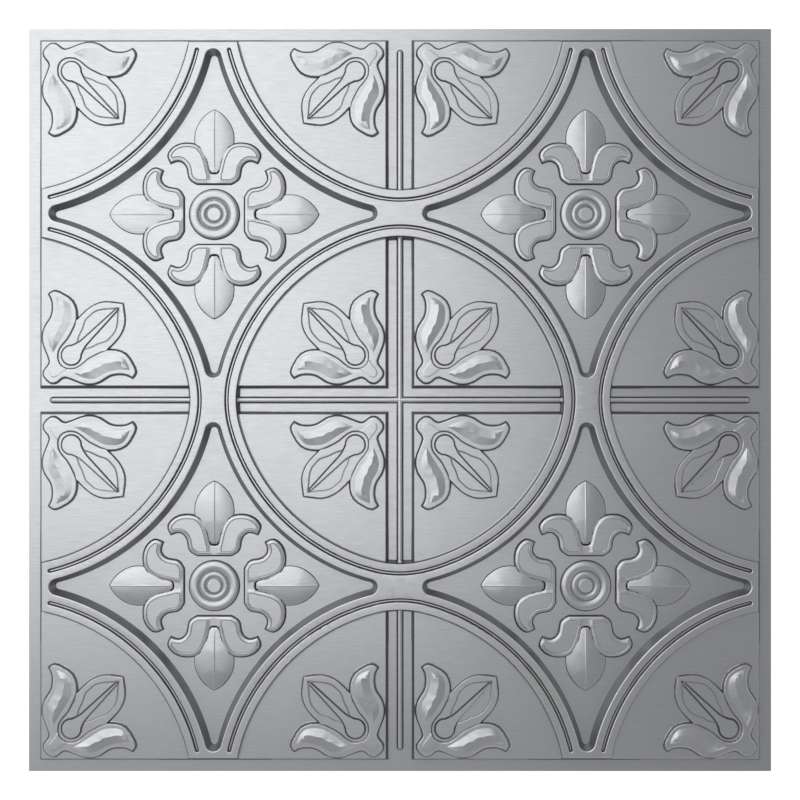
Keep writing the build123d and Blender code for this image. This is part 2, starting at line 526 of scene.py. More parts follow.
@dataclass(frozen=True)
class SprigPlan:
    """A sprig of three leaves and a bulb, from its panel's corner along the diagonal."""

    wall: Ramp = Ramp(-0.75, 1.5, 1.0, 0.4)  # of the side leaves, as a share of their rise
    middle_wall: Ramp = Ramp(-0.65, 1.15, 1.0, 0.3)  # of the middle leaf
    low_wall: Ramp = Ramp(-0.2, 0.7, 1.0, 0.15)  # of the forms that stand on a leaf
    side_rise: float = 1.9  # over the panel
    tongue_rise: float = 0.4  # over the side leaves, where they meet
    facet_rise: float = 1.1  # of a side leaf's crease, over the leaf
    facet_slope: float = 0.36
    middle_rise: float = 1.2  # over the panel
    field_rise: float = 0.3  # of the field within the middle leaf
    field_line: float = 0.4  # depth of the line round it
    bulb_rise: float = 0.5
    bulb_line_depth: float = 0.7
    line_half: float = 0.7  # half width of the lines round the field and the bulb
    reach: float = 1.3  # how far outside its outline a sprig's foot may lie
    scale: float = 0.8  # millimetres to one unit of the finer outlines

    def stations(self, fine: bool) -> dict[str, tuple[float, ...]]:
        """Depths in each outline at which the mesh has a line of points.

        Args:
            fine: Whether the mesh is that of the decorated face.

        Returns:
            The depths, by the outline's name.
        """
        if not fine:
            return {"whole": (-0.95, 0.85), "side": (-1.15, 1.15)}
        return {
            "whole": (-0.95, -0.5, 0.3, 0.85),
            "side": (-1.15, -0.6, 0.4, 1.1),
            "facet": (0.0, 1.3),
            "field": (-self.line_half, 0.0, self.line_half),
            "bulb": (-self.line_half, 0.0, self.line_half),
            "tongue": (-0.3, 0.6),
        }

    def outlines(self, corner: float) -> dict[str, Outline]:
        """The sprig's closed outlines.

        Args:
            corner: The panel's corner, as its distance from both axes.

        Returns:
            The outlines by name: the whole sprig, the side leaves as one, and the forms on them.
        """
        root = smooth_curve([(4.6, 4.6), (7.8, 2.2), (12.9, 2.7), (17.5, 6.2), (20.1, 6.8)])
        back = smooth_curve([
            (20.1, 6.8), (26.1, 4.6), (34.1, 1.6), (42.2, 1.2), (48.6, 3.6),
            (55.0, 7.6), (63.1, 9.3), (71.1, 7.8), (73.9, 6.2),
        ])
        front = smooth_curve([
            (73.9, 6.2), (76.4, 10.0), (74.3, 17.5), (69.0, 25.0), (60.9, 28.7), (53.4, 29.0),
        ])
        tip = smooth_curve([
            (53.4, 29.0), (59.9, 35.5), (65.3, 43.2), (67.7, 51.8), (66.9, 60.4), (66.2, 66.2),
        ])
        cup = smooth_curve([
            (53.4, 29.0), (46.9, 26.5), (42.6, 24.4), (38.3, 21.9), (34.6, 19.0), (31.4, 16.3),
            (28.6, 14.7), (25.4, 13.9), (22.2, 13.9), (19.0, 15.0), (16.6, 16.6),
        ])
        facet_back = smooth_curve(self.scale * np.array([
            (33, 12.3), (42, 8.5), (52, 6.8), (57, 8), (63, 11.5), (72, 15), (82, 16.2), (90, 15.6),
        ]))
        facet_front = smooth_curve(self.scale * np.array([
            (90, 15.6), (86.8, 23.8), (80.7, 29.8), (72, 31.2),
            (62.6, 29.8), (53.9, 25.1), (44.6, 19.1), (33, 12.3),
        ]))
        field_edge = smooth_curve(self.scale * np.array([
            (38, 33), (44.9, 36.8), (50.6, 38.5), (55.9, 41.2), (61.3, 43.2), (66.6, 45.2), (70.6, 49.2),
            (74.0, 53.2), (76.3, 58.6), (77.3, 64.6), (77.7, 70.0), (78.5, 78.5),
        ]))
        field_root = smooth_curve(self.scale * np.array([(34.0, 34.0), (38, 33)]))
        tongue = smooth_curve([
            (7.7, 7.7), (9.2, 7.0), (11.3, 7.0), (13.2, 7.8), (17.1, 10.8), (21.1, 13.4),
        ])
        tongue_half = joined(tongue, np.array([(19.0, 15.0), (16.6, 16.6)]))
        side_half = joined(root, back, front, cup)
        whole_half = joined(root, back, front, tip)
        field_half = joined(field_root, field_edge)
        lines = {
            "whole": joined(whole_half, mirrored(whole_half)),
            "side": joined(side_half, mirrored(side_half)),
            "tongue": joined(tongue_half, mirrored(tongue_half)),
            "facet": joined(facet_back, facet_front),
            "field": joined(field_half, mirrored(field_half)),
            "bulb": self.bulb_line(),
        }
        return {name: Outline(line[:-1] + corner) for name, line in lines.items()}

    def bulb_line(self) -> Points:
        """Outline of the bulb and its tapering stem.

        Returns:
            The outline's points, from the panel's corner.
        """
        bulb = arc_points((43.4, 0.0), 10.0, 180.0, 42.0)
        stem = smooth_curve([(bulb[-1, 0], bulb[-1, 1]), (54.5, 5.3), (58.0, 4.2), (62.5, 3.5)], 1.0)
        taper = smooth_curve([(62.5, 3.5), (107.0, 1.3)], 2.0)
        end = smooth_curve([(107.0, 1.3), (109.2, 0.9), (110.2, 0.0)], 0.5)
        along, across = (self.scale * joined(bulb, stem, taper, end)).T
        half = np.column_stack((along + across, along - across)) / math.sqrt(2)
        return joined(half, mirrored(half))

    def crease(self, corner: float) -> Points:
        """Ridge along the middle of a side leaf.

        Args:
            corner: The panel's corner, as its distance from both axes.

        Returns:
            The ridge's points.
        """
        knots = [
            (33, 12.3), (42, 13), (50.5, 14.5), (54, 17.1), (59, 18.5), (63, 21.5),
            (68, 22.5), (74, 24), (77, 24.5), (84, 23), (90, 15.6),
        ]
        return smooth_curve(self.scale * np.array(knots)) + corner


@dataclass(frozen=True)
class RosettePlan:
    """Button and rings in the diamond's middle, and the collars that hold its petals."""

    base: float = 1.2  # rise of the round base over the diamond's floor
    base_wall: Ramp = Ramp(-0.3, 0.7, 1.0, 0.2)
    button: float = 6.4  # radius
    button_wall: Ramp = Ramp(0.2, 1.0, 1.0, 0.3)
    inner_ring: tuple[float, float] = (6.6, 11.9)  # inner and outer radius
    outer_ring: tuple[float, float] = (12.2, 20.4)
    roundness: float = 0.7  # power of a ring's section; 0.5 makes half an ellipse
    ring_crown: float = 1.3  # rise of the outer ring over the base
    inner_crown: float = 1.1  # and of the inner ring and the button
    collar_reach: float = 24.6  # from the rosette's middle to a collar's foot
    collar_step: float = 1.9  # rise of its wall
    collar_wall: Ramp = Ramp(-0.6, 1.25, 1.0, 0.3)
    collar_bevel: Ramp = Ramp(0.45, 2.4, 0.6, 0.3)
    field_inset: float = 3.0  # from a collar's edge to the line within it
    field_line: float = 0.3  # depth of that line
    field_half: float = 0.5  # half its width
    bridge_half: float = 5.8  # half width of the level bridge between a collar's halves
    bridge_length: float = 10.5  # how far out its lines run
    collar_lines: tuple[float, ...] = (-0.9, -0.35, 0.35, 0.95, 2.5, 3.0, 3.5)  # depths of the mesh's lines
    collar_back_lines: tuple[float, ...] = (-0.9, 0.95)
    petal_step: float = 0.75  # rise of a petal's wall
    petal_wall: Ramp = Ramp(-0.3, 0.6, 1.0, 0.12)
    petal_crown: float = 1.75  # the most that its middle rises over the wall
    petal_slope: float = 0.13  # rise of its middle by its width
    petal_bend: float = 2.4  # power of its fall from the middle to the side
    petal_straight: float = 0.4  # the share of that fall that is straight
    petal_lines: tuple[float, ...] = (-0.42, -0.15, 0.15, 0.42, 2.0, 4.5, 9.0)
    petal_back_lines: tuple[float, ...] = (-0.42, 0.42)
    ridge_rise: float = 0.2
    ridge_half: float = 0.9
    ridge_start: float = 8.6  # from a collar's foot to where the lines beside the ridge start
    ridge_end: float = 59.4
    width: float = 45.0  # no form of the rosette reaches further from its axis
    length: float = 90.0  # or further from its middle

    def radii(self, inset: float, fine: bool) -> list[float]:
        """Radii, about the rosette's middle, at which the mesh has a line of points.

        Args:
            inset: How far the walls of this face stand inside those of the decorated face.
            fine: Whether the mesh is that of the decorated face.

        Returns:
            The radii, in no order.
        """
        inner, outer, button = self.inner_ring, self.outer_ring, self.button
        edges = [button - inset, inner[0] + inset, inner[1] - inset, outer[0] + inset, outer[1] - inset]
        if not fine:
            return edges
        middle = sum(outer) / 2
        beside = [button - 1.5, button - 0.8, inner[0] + 0.7, inner[1] - 0.7, outer[0] + 0.6, outer[1] - 0.6]
        return edges + beside + [sum(inner) / 2, middle - 1.9, middle, middle + 1.9, outer[1] + 0.55]

    def placed(self, half: Points, cell: float) -> Outline:
        """Closed outline of a form that lies on the petal's axis.

        Args:
            half: One half of it, as distances along and across the axis from the collar's foot.
            cell: Distance of the rosette's middle from both axes of the ring.

        Returns:
            The outline, in its place in the triangle.
        """
        other = half[::-1] * (1, -1)
        line = joined(half, other)
        if np.allclose(line[0], line[-1]):
            line = line[:-1]
        return Outline(np.column_stack((cell - line[:, 1], cell - self.collar_reach - line[:, 0])))

    def collar(self, cell: float) -> Outline:
        """Outline of a collar: a flat bar with two curled lobes.

        Args:
            cell: Distance of the rosette's middle from both axes of the ring.

        Returns:
            The outline, in its place in the triangle.
        """
        bar = smooth_curve([(0, 0), (0, 13.8)])
        neck = smooth_curve([(0, 13.8), (4.5, 20.0), (13.5, 22.2), (18.7, 27.9), (17.0, 35.2)])
        curl = smooth_curve([
            (17.0, 35.2), (23.2, 37.5), (29.8, 33.0), (33.1, 21.5),
            (31.0, 13.2), (25.8, 8.5), (16.2, 5.0), (10.6, 3.8),
        ])
        notch = smooth_curve([(10.6, 3.8), (9.2, 3.2), (8.3, 1.7), (8.2, 0.0)])
        return self.placed(joined(bar, neck, curl, notch), cell)

    def petal(self, cell: float) -> Outline:
        """Outline of a pointed petal.

        Args:
            cell: Distance of the rosette's middle from both axes of the ring.

        Returns:
            The outline, in its place in the triangle.
        """
        root = smooth_curve([(9.2, 0), (9.2, 2.3)])
        side = smooth_curve([
            (9.2, 2.3), (15.0, 7.0), (24.0, 12.8), (34.0, 15.8),
            (44.8, 14.6), (53.7, 9.3), (58.2, 4.2), (60.4, 0),
        ])
        return self.placed(joined(root, side), cell)


@dataclass
class Relief:
    """Height of the pattern over one triangle, from a ring's middle to a diamond's middle.

    The triangle's axis edge runs from (0, 0) to (cell, 0) and its third corner,
    the diamond's middle, is at (cell, cell).
    """

    edge: Edge
    rings: RingPlan = field(default_factory=RingPlan)
    sprig: SprigPlan = field(default_factory=SprigPlan)
    rosette: RosettePlan = field(default_factory=RosettePlan)
    overlap: float = 1.0

    def __post_init__(self) -> None:
        """Work out the outlines that the heights depend on."""
        self.lines = self.sprig.outlines(self.rings.channel)
        self.crease = self.sprig.crease(self.rings.channel)
        self.collar = self.rosette.collar(self.rings.cell)
        self.petal = self.rosette.petal(self.rings.cell)

    def height(self, points: Points, side: Side) -> Points:
        """Height of one face of the sheet over the tile's underside.

        Args:
            points: Places in the triangle.
            side: The face that is asked for.

        Returns:
            One height for each place.
        """
        rings = self.rings
        inset = 0.0 if side is Side.FRONT else rings.wall
        ground = rings.panel_wall(side).height(points[:, 1]) + self.sprig_height(points, side, inset)
        ground = np.where(rings.ring_reach(points) < rings.inner_arc + self.overlap, ground, 0.0)
        band = self.band_height(points, side, inset)
        found = np.maximum(ground, band)
        found = np.maximum(found, self.rosette_height(points, inset))
        found = np.maximum(found, self.bead_height(points, inset))
        return found + (rings.sheet if side is Side.FRONT else 0.0)

    def band_height(self, points: Points, side: Side, inset: float) -> Points:
        """Height of the ring's band, with its groove, over the flange.

        Args:
            points: Places in the triangle.
            side: The face that is asked for.
            inset: How far its walls stand inside those of the decorated face.

        Returns:
            One height for each place.
        """
        rings = self.rings
        reach = rings.ring_reach(points)
        found = rings.ring_wall(side).height(reach)
        outer = rings.ring_rise - rings.diamond_wall(side).height(rings.diamond_depth(points))
        found = np.minimum(found, outer)
        if self.edge is Edge.BORDER:
            found = np.minimum(found, rings.margin_wall(side).height(points[:, 1]))
        gap = np.abs(reach - rings.groove_arc)
        if self.edge is Edge.BORDER:
            end = self.groove_tip()
            gap = np.where(points[:, 1] < end[1], np.hypot(*(points - end).T), gap)
        return found - rings.groove_wall(inset).height(-gap)

    def groove_tip(self) -> Points:
        """The round end of a cut ring's groove.

        Returns:
            Its centre.
        """
        rings = self.rings
        across = rings.groove_end + rings.groove_half
        radius = rings.groove_arc - rings.between
        return np.array([rings.join_shift + math.sqrt(radius**2 - across**2), across])

    def bead_height(self, points: Points, inset: float) -> Points:
        """Height of the half-round bead in the channel.

        Args:
            points: Places in the triangle.
            inset: How far the bead of this face stands inside that of the decorated face.

        Returns:
            One height for each place.
        """
        rings = self.rings
        if self.edge is Edge.BORDER:
            return np.full(len(points), BELOW)
        radius = rings.bead_radius - inset
        gap = points[:, 1]
        if self.edge is Edge.INNER:
            start = rings.bead_end + rings.bead_radius
            gap = np.where(points[:, 0] < start, np.hypot(points[:, 0] - start, points[:, 1]), gap)
        lift = rings.bead_rise - rings.bead_radius + (rings.sheet if inset else 0.0)
        return np.sqrt(np.maximum(radius**2 - gap**2, 0.0)) + lift

    def sprig_height(self, points: Points, side: Side, inset: float) -> Points:
        """Height of the leaf sprig over its panel.

        Args:
            points: Places in the triangle.
            side: The face that is asked for.
            inset: How far its walls stand inside those of the decorated face.

        Returns:
            One height for each place.
        """
        sprig, lines = self.sprig, self.lines
        found = np.zeros(len(points))
        whole = lines["whole"].depth(points) - inset
        on = whole > -sprig.reach
        if not on.any():
            return found
        near, depth = points[on], whole[on]
        body = lines["side"].depth(near) - inset
        leaf = sprig.wall.height(body) * sprig.side_rise
        middle = sprig.middle_wall.height(depth) * sprig.middle_rise
        if side is Side.FRONT:
            facet = np.maximum(lines["facet"].depth(near), 0.0)
            across = np.maximum(facet + distance_to(near, self.crease), SMALLEST)
            slope = np.minimum(sprig.facet_rise, sprig.facet_slope * across)
            leaf = leaf + slope * facet / across
            tongue = sprig.low_wall.height(lines["tongue"].depth(near))
            leaf = leaf + sprig.tongue_rise * tongue * sprig.wall.height(body)
            inner, bulb = lines["field"].depth(near), lines["bulb"].depth(near)
            middle = middle + sprig.field_rise * sprig.low_wall.height(np.maximum(inner, bulb))
            field_line = np.where(bulb < 0.0, crest(inner, sprig.line_half), 0.0)
            middle = middle - sprig.field_line * field_line
            middle = middle + sprig.bulb_rise * sprig.low_wall.height(bulb)
            middle = middle - sprig.bulb_line_depth * crest(bulb, sprig.line_half)
        found[on] = np.maximum(leaf, middle)
        return found

    def rosette_height(self, points: Points, inset: float) -> Points:
        """Height of the rosette, its collar and its petal over the diamond's floor.

        Args:
            points: Places in the triangle.
            inset: How far the walls of this face stand inside those of the decorated face.

        Returns:
            One height for each place.
        """
        plan, cell = self.rosette, self.rings.cell
        out = np.full(len(points), BELOW)
        on = (points[:, 1] > cell - plan.length) & (points[:, 0] > cell - plan.width)
        near = points[on]
        if not len(near):
            return out
        radius = np.hypot(*(cell - near).T)
        found = plan.base * plan.base_wall.height(plan.outer_ring[1] - inset - radius)
        crowned = ((plan.outer_ring, plan.ring_crown), (plan.inner_ring, plan.inner_crown))
        for (inner, outer), crown in crowned:
            share = (radius - (inner + outer) / 2) / ((outer - inner) / 2 - inset)
            found = found + crown * np.maximum(1 - share**2, 0.0) ** plan.roundness
        found = found + plan.inner_crown * plan.button_wall.height(plan.button - inset - radius)
        across = np.abs(cell - near[:, 0])
        depth = self.collar.depth(near) - inset
        level = np.minimum(depth, across - plan.bridge_half + plan.field_inset)
        collar = plan.collar_step * plan.collar_wall.height(depth) + plan.collar_bevel.height(level)
        if not inset:
            collar = collar - plan.field_line * crest(level - plan.field_inset, plan.field_half)
        found = np.maximum(found, collar)
        depth = self.petal.depth(near) - inset
        width = across + np.maximum(depth, 0.0)
        share = across / np.maximum(width, SMALLEST)
        straight = plan.petal_straight
        fall = straight * share + (1 - straight) * share**plan.petal_bend
        crown = np.where(depth > 0, 1 - fall, 0.0)
        top = np.minimum(plan.petal_crown, plan.petal_slope * width)
        petal = plan.petal_step * plan.petal_wall.height(depth) + top * crown
        if not inset:
            ridge = crest(across, plan.ridge_half) * np.clip(depth, 0.0, 1.0)
            petal = petal + plan.ridge_rise * ridge
        out[on] = np.maximum(found, petal)
        return out

    def guides(self, side: Side) -> list[Points]:
        """Lines that the mesh's edges follow: each wall's corners, each crease and rim.

        Args:
            side: The face of the sheet.

        Returns:
            The lines, which may reach past the triangle.
        """
        rings, plan = self.rings, self.rosette
        fine = side is Side.FRONT
        inset = 0.0 if fine else rings.wall
        found = [rings.ring_line(at) for at in rings.ring_wall(side).stations(fine)]
        found += [rings.diamond_line(at) for at in rings.diamond_wall(side).stations(fine)]
        found += self.groove_guides(inset, fine)
        found += self.straight_guides(side, fine)
        found += self.bead_guides(inset, fine)
        for name, depths in self.sprig.stations(fine).items():
            for depth in depths:
                found += self.lines[name].inset(depth + inset)
        for depth in plan.collar_lines if fine else plan.collar_back_lines:
            found += self.collar.inset(depth + inset)
        for depth in plan.petal_lines if fine else plan.petal_back_lines:
            found += self.petal.inset(depth + inset)
        if fine:
            found.append(self.crease)
            found += self.upright_guides()
        corner = (rings.cell, rings.cell)
        return found + [arc_points(corner, radius, 225.0, 270.0) for radius in plan.radii(inset, fine)]

    def upright_guides(self) -> list[Points]:
        """Lines beside the rosette's axis: the bridge between a collar's halves and the petal's ridge.

        Returns:
            The lines, each one straight.
        """
        plan, cell = self.rosette, self.rings.cell
        foot = cell - plan.collar_reach
        found = []
        for level in (-2.5, -0.5, 0.0, 0.5):
            x = cell - plan.bridge_half - level
            ends = [(x, foot - plan.field_inset), (x, foot - plan.bridge_length)]
            found.append(smooth_curve(ends, STRAIGHT_STEP))
        x = cell - plan.ridge_half
        ends = [(x, foot - plan.ridge_start), (x, foot - plan.ridge_end)]
        return found + [smooth_curve(ends, STRAIGHT_STEP)]

    def groove_guides(self, inset: float, fine: bool) -> list[Points]:
        """Lines along the ring's groove and round its end.

        Args:
            inset: How far the groove of this face is widened.
            fine: Whether the mesh is that of the decorated face.

        Returns:
            The lines.
        """
        rings = self.rings
        half = rings.groove_half + inset
        floor, soft, beside = half - rings.groove_run, rings.groove_soft, 0.2
        gaps = (half + beside, half - soft, floor + soft, floor - soft) if fine else (half, floor)
        found = []
        for gap in gaps:
            pair = [rings.ring_line(rings.groove_arc + way * gap) for way in (-1, 1)]
            if self.edge is Edge.BORDER:
                end = self.groove_tip()
                turn = math.degrees(math.asin(end[1] / (rings.groove_arc - rings.between)))
                pair = [line[line[:, 1] > end[1]] for line in pair]
                pair.append(arc_points(tuple(end), gap, 180.0 + turn, 360.0 + turn))
            found += pair
        return found

    def straight_guides(self, side: Side, fine: bool) -> list[Points]:
        """Lines along the channel's or the flange's wall.

        Args:
            side: The face of the sheet.
            fine: Whether the mesh is that of the decorated face.

        Returns:
            The lines.
        """
        rings = self.rings
        meets = rings.join_shift + rings.ring_wall(side).foot - rings.between
        found = []
        for at in rings.panel_wall(side).stations(fine):
            found.append(smooth_curve([(at, at), (meets + self.overlap, at)], STRAIGHT_STEP))
        if self.edge is Edge.BORDER:
            for at in rings.margin_wall(side).stations(fine):
                ends = [(meets, at), (rings.cell + self.overlap, at)]
                found.append(smooth_curve(ends, STRAIGHT_STEP))
        return found

    def bead_guides(self, inset: float, fine: bool) -> list[Points]:
        """Lines along the bead and round its end.

        Args:
            inset: How far the bead of this face stands inside that of the decorated face.
            fine: Whether the mesh is that of the decorated face.

        Returns:
            The lines.
        """
        rings = self.rings
        if self.edge is Edge.BORDER:
            return []
        radius = rings.bead_radius - inset
        lift = rings.bead_radius - rings.bead_rise - (rings.sheet if inset else 0.0)
        foot = math.sqrt(radius**2 - lift**2)
        found = []
        for share in (0.35, 0.65, 0.87, 1.0) if fine else (0.6, 1.0):
            gap = foot * share
            start = gap
            if self.edge is Edge.INNER:
                start = rings.bead_end + rings.bead_radius
                found.append(arc_points((start, 0.0), gap, 180.0, 90.0))
            ends = [(start, gap), (rings.join_shift + rings.bead_reach, gap)]
            found.append(smooth_curve(ends, STRAIGHT_STEP))
        return found


@dataclass
class PatternTriangle:
    """One triangle of the pattern as a mesh of both faces of the sheet."""

    relief: Relief
    edge_parts: int = 28  # number of parts that each of its edges is cut into
    front_spacing: tuple[float, float] = (0.035, 9.0)  # slack of a line, and its longest stretch
    back_spacing: tuple[float, float] = (0.12, 20.0)
    merging: float = 0.012  # points that are closer than this become one
    snapping: float = 0.002  # and this close to an edge of the triangle, they move onto it
    edge_zone: float = 0.02  # how far outside the triangle a line is still followed
    smallest_area: float = 1e-7
    probe: float = 0.02  # distance over which a slope is read
    probe_lead: float = 1.6  # how far inside the triangle that is, in the same distances
    probe_limit: float = 0.3  # and at most this share of the way to the next corner
    level_below: float = 20.0  # up to this slope, in degrees, a face gets no painted shade
    full_shade_above: float = 38.0  # from this slope on, it gets the full painted shade
    diamond_shade_share: float = 0.75  # how much of that painted shade the diamond's wall gets
    bend_range: tuple[float, float] = (0.4, 1.0)  # radians to a millimetre

    def border_points(self) -> tuple[list[tuple[float, float]], list[tuple[int, int]]]:
        """Points round the triangle, evenly spaced.

        Returns:
            The points, and the edges between them as pairs of point numbers.
        """
        cell, parts = self.relief.rings.cell, self.edge_parts
        corners = [(0.0, 0.0), (cell, 0.0), (cell, cell), (0.0, 0.0)]
        points: list[tuple[float, float]] = []
        for (x0, y0), (x1, y1) in zip(corners, corners[1:]):
            points += [(x0 + (x1 - x0) * k / parts, y0 + (y1 - y0) * k / parts) for k in range(parts)]
        return points, [(k, (k + 1) % len(points)) for k in range(len(points))]

    def flat_mesh(self, side: Side) -> tuple[Points, Points]:
        """Points and triangles that follow the pattern's lines, seen level.

        Args:
            side: The face of the sheet.

        Returns:
            The points, and the triangles as rows of three point numbers.
        """
        points, edges = self.border_points()
        slack, longest = self.front_spacing if side is Side.FRONT else self.back_spacing
        for line in self.relief.guides(side):
            for run in self.clipped(simplified(line, slack, longest)):
                first = len(points)
                points += [tuple(p) for p in run]
                edges += [(first + k, first + k + 1) for k in range(len(run) - 1)]
        vectors = [Vector(p) for p in points]
        found = delaunay_2d_cdt(vectors, edges, [], 0, self.merging, False)
        flat = np.array([tuple(v) for v in found[0]])
        faces = np.array([tuple(f) for f in found[2]])
        faces = faces[self.holds(flat[faces].mean(1))]
        flat = self.snapped(flat)
        a, b, c = flat[faces[:, 0]], flat[faces[:, 1]], flat[faces[:, 2]]
        area = (b[:, 0] - a[:, 0]) * (c[:, 1] - a[:, 1]) - (b[:, 1] - a[:, 1]) * (c[:, 0] - a[:, 0])
        faces[area < 0] = faces[area < 0][:, ::-1]
        kept = faces[np.abs(area) > self.smallest_area]
        used, faces = np.unique(kept, return_inverse=True)
        return flat[used], faces.reshape(-1, 3)

    def holds(self, places: Points) -> Points:
        """Whether each place lies well inside the triangle.

        Args:
            places: The places, one row each.

        Returns:
            One answer for each place.
        """
        x, y = places[:, 0], places[:, 1]
        least = 1e-4
        return (y > least) & (x < self.relief.rings.cell - least) & (x - y > least)

    def snapped(self, flat: Points) -> Points:
        """Move the points that all but lie on the triangle's edges onto them.

        Args:
            flat: The points, one row each.

        Returns:
            The points, each in its final place.
        """
        cell = self.relief.rings.cell
        flat[np.abs(flat[:, 1]) < self.snapping, 1] = 0.0
        flat[np.abs(flat[:, 0] - cell) < self.snapping, 0] = cell
        on_diagonal = np.abs(flat[:, 0] - flat[:, 1]) < self.snapping * 1.5
        flat[on_diagonal] = flat[on_diagonal].mean(1)[:, None]
        return flat

    def clipped(self, line: Points) -> list[Points]:
        """The stretches of a line that lie in the triangle, or cross its edges.

        Args:
            line: The points of the line.

        Returns:
            The stretches, each of two points or more.
        """
        zone = self.edge_zone
        x, y = line[:, 0], line[:, 1]
        inside = (y > -zone) & (x < self.relief.rings.cell + zone) & (x - y > -zone)
        touch = inside.copy()
        touch[:-1] |= inside[1:]
        touch[1:] |= inside[:-1]
        cuts = np.flatnonzero(np.diff(touch.astype(int)) != 0) + 1
        parts = np.split(np.arange(len(line)), cuts)
        return [line[part] for part in parts if touch[part[0]] and len(part) > 1]

    def facing(self, flat: Points, faces: Points, side: Side) -> Points:
        """Direction that each corner of each triangle faces, read just inside the triangle.

        Args:
            flat: The points, one row each.
            faces: The triangles, as rows of three point numbers.
            side: The face of the sheet.

        Returns:
            One direction for each corner, of length one.
        """
        corners = flat[faces]
        ahead = np.roll(corners, -1, axis=1) - corners
        behind = np.roll(corners, 1, axis=1) - corners
        reach = np.maximum(np.linalg.norm(ahead, axis=2, keepdims=True), SMALLEST)
        back = np.maximum(np.linalg.norm(behind, axis=2, keepdims=True), SMALLEST)
        way = ahead / reach + behind / back
        size = np.maximum(np.linalg.norm(way, axis=2, keepdims=True), SMALLEST)
        cross = np.abs(ahead[..., :1] * behind[..., 1:] - ahead[..., 1:] * behind[..., :1])
        opening = np.arcsin(np.clip(cross / (reach * back), 0.0, 1.0))
        narrowest = 0.005
        spread = np.maximum(np.sin(0.5 * opening), narrowest)
        go = np.minimum(self.probe_lead * self.probe / spread, self.probe_limit * np.minimum(reach, back))
        places = (corners + way / size * go).reshape(-1, 2)
        slopes = []
        for shift in ((self.probe, 0.0), (0.0, self.probe)):
            rise = self.relief.height(places + shift, side) - self.relief.height(places - shift, side)
            slopes.append(rise / (2 * self.probe))
        normal = np.column_stack((-slopes[0], -slopes[1], np.ones(len(places))))
        return normal / np.linalg.norm(normal, axis=1, keepdims=True)

    def build(self, name: str) -> bpy.types.Object:
        """Make the triangle's mesh: front, back and, at the tile's edge, the cut edge.

        Args:
            name: Name of the new object.

        Returns:
            The object, in metres, with its facing, its finish and its painted shade and highlights kept as
            attributes.
        """
        sheet = self.relief.rings.sheet
        on_border = self.relief.edge is Edge.BORDER
        places, triangles, normals, front = [], [], [], []
        total = 0
        for side in Side:
            flat, faces = self.flat_mesh(side)
            height = self.relief.height(flat, side)
            if on_border:
                height[flat[:, 1] == 0.0] = sheet if side is Side.FRONT else 0.0
            facing = self.facing(flat, faces, side)
            if side is Side.BACK:
                height = np.maximum(height, 0.0)
                faces = faces[:, ::-1]
                facing = -facing.reshape(-1, 3, 3)[:, ::-1].reshape(-1, 3)
            places.append(np.column_stack((flat, height)))
            triangles += (faces + total).tolist()
            normals.append(facing)
            front += [1.0 if side is Side.FRONT else 0.0] * len(faces)
            total += len(flat)
        points = np.vstack(places)
        if on_border:
            rim = self.rim(points)
            triangles += rim
            normals.append(np.tile((0.0, -1.0, 0.0), (3 * len(rim), 1)))
            front += [0.0] * len(rim)
        mesh = bpy.data.meshes.new(name)
        mesh.from_pydata((points * MM).tolist(), [], triangles)
        self.mark(mesh, points[np.array(triangles)], np.vstack(normals), front)
        LOG.info("%s: %d triangles, %d of them in front", name, len(triangles), int(sum(front)))
        return bpy.data.objects.new(name, mesh)

    def mark(self, mesh: bpy.types.Mesh, corners: Points, normals: Points, front: list[float]) -> None:
        """Give the mesh the attributes that its facing, its finish and its painted shade and highlights are
        read from.

        Args:
            mesh: The mesh, whose attributes are added.
            corners: The three corners of each triangle, in millimetres.
            normals: The direction that each corner faces.
            front: One for each triangle of the decorated face and zero for the others.
        """
        # painted shade: the steeper a face, the darker its film is coloured, standing in for the shade on
        # the walls
        lean = np.degrees(np.arccos(np.clip(np.abs(normals[:, 2]), 0.0, 1.0)))
        painted_wall_shade = np.clip((lean - self.level_below) / (self.full_shade_above - self.level_below), 0.0, 1.0)
        wall = self.relief.rings.diamond_wall(Side.FRONT)
        depth = self.relief.rings.diamond_depth(corners.reshape(-1, 3)[:, :2])
        deep = (depth > wall.foot - wall.soft) & (depth < wall.foot + wall.run + wall.soft)
        painted_wall_shade = np.where(deep, painted_wall_shade * self.diamond_shade_share, painted_wall_shade)
        # painted highlight on sharp raised edges and painted shade in sharp hollows, by how sharply each
        # triangle bends
        bent = self.bending(corners, normals.reshape(-1, 3, 3))
        mesh.attributes.new("facing", "FLOAT_VECTOR", "CORNER").data.foreach_set("vector", normals.ravel())
        mesh.attributes.new("film", "FLOAT", "FACE").data.foreach_set("value", front)
        mesh.attributes.new("painted_wall_shade", "FLOAT", "CORNER").data.foreach_set("value", painted_wall_shade)
        mesh.attributes.new("edge", "FLOAT", "FACE").data.foreach_set("value", bent)

    def bending(self, corners: Points, normals: Points) -> Points:
        """How sharply each triangle bends.

        Args:
            corners: The three corners of each triangle.
            normals: The direction that each corner faces.

        Returns:
            One value for each triangle: up to one on a raised edge, down to minus one in a hollow.
        """
        along = np.roll(corners, -1, axis=1) - corners
        turned = np.roll(normals, -1, axis=1) - normals
        rates = (along * turned).sum(2) / np.maximum((along**2).sum(2), SMALLEST)
        strongest = np.take_along_axis(rates, np.abs(rates).argmax(1)[:, None], axis=1)[:, 0]
        low, high = self.bend_range
        return np.sign(strongest) * np.clip((np.abs(strongest) - low) / (high - low), 0.0, 1.0)

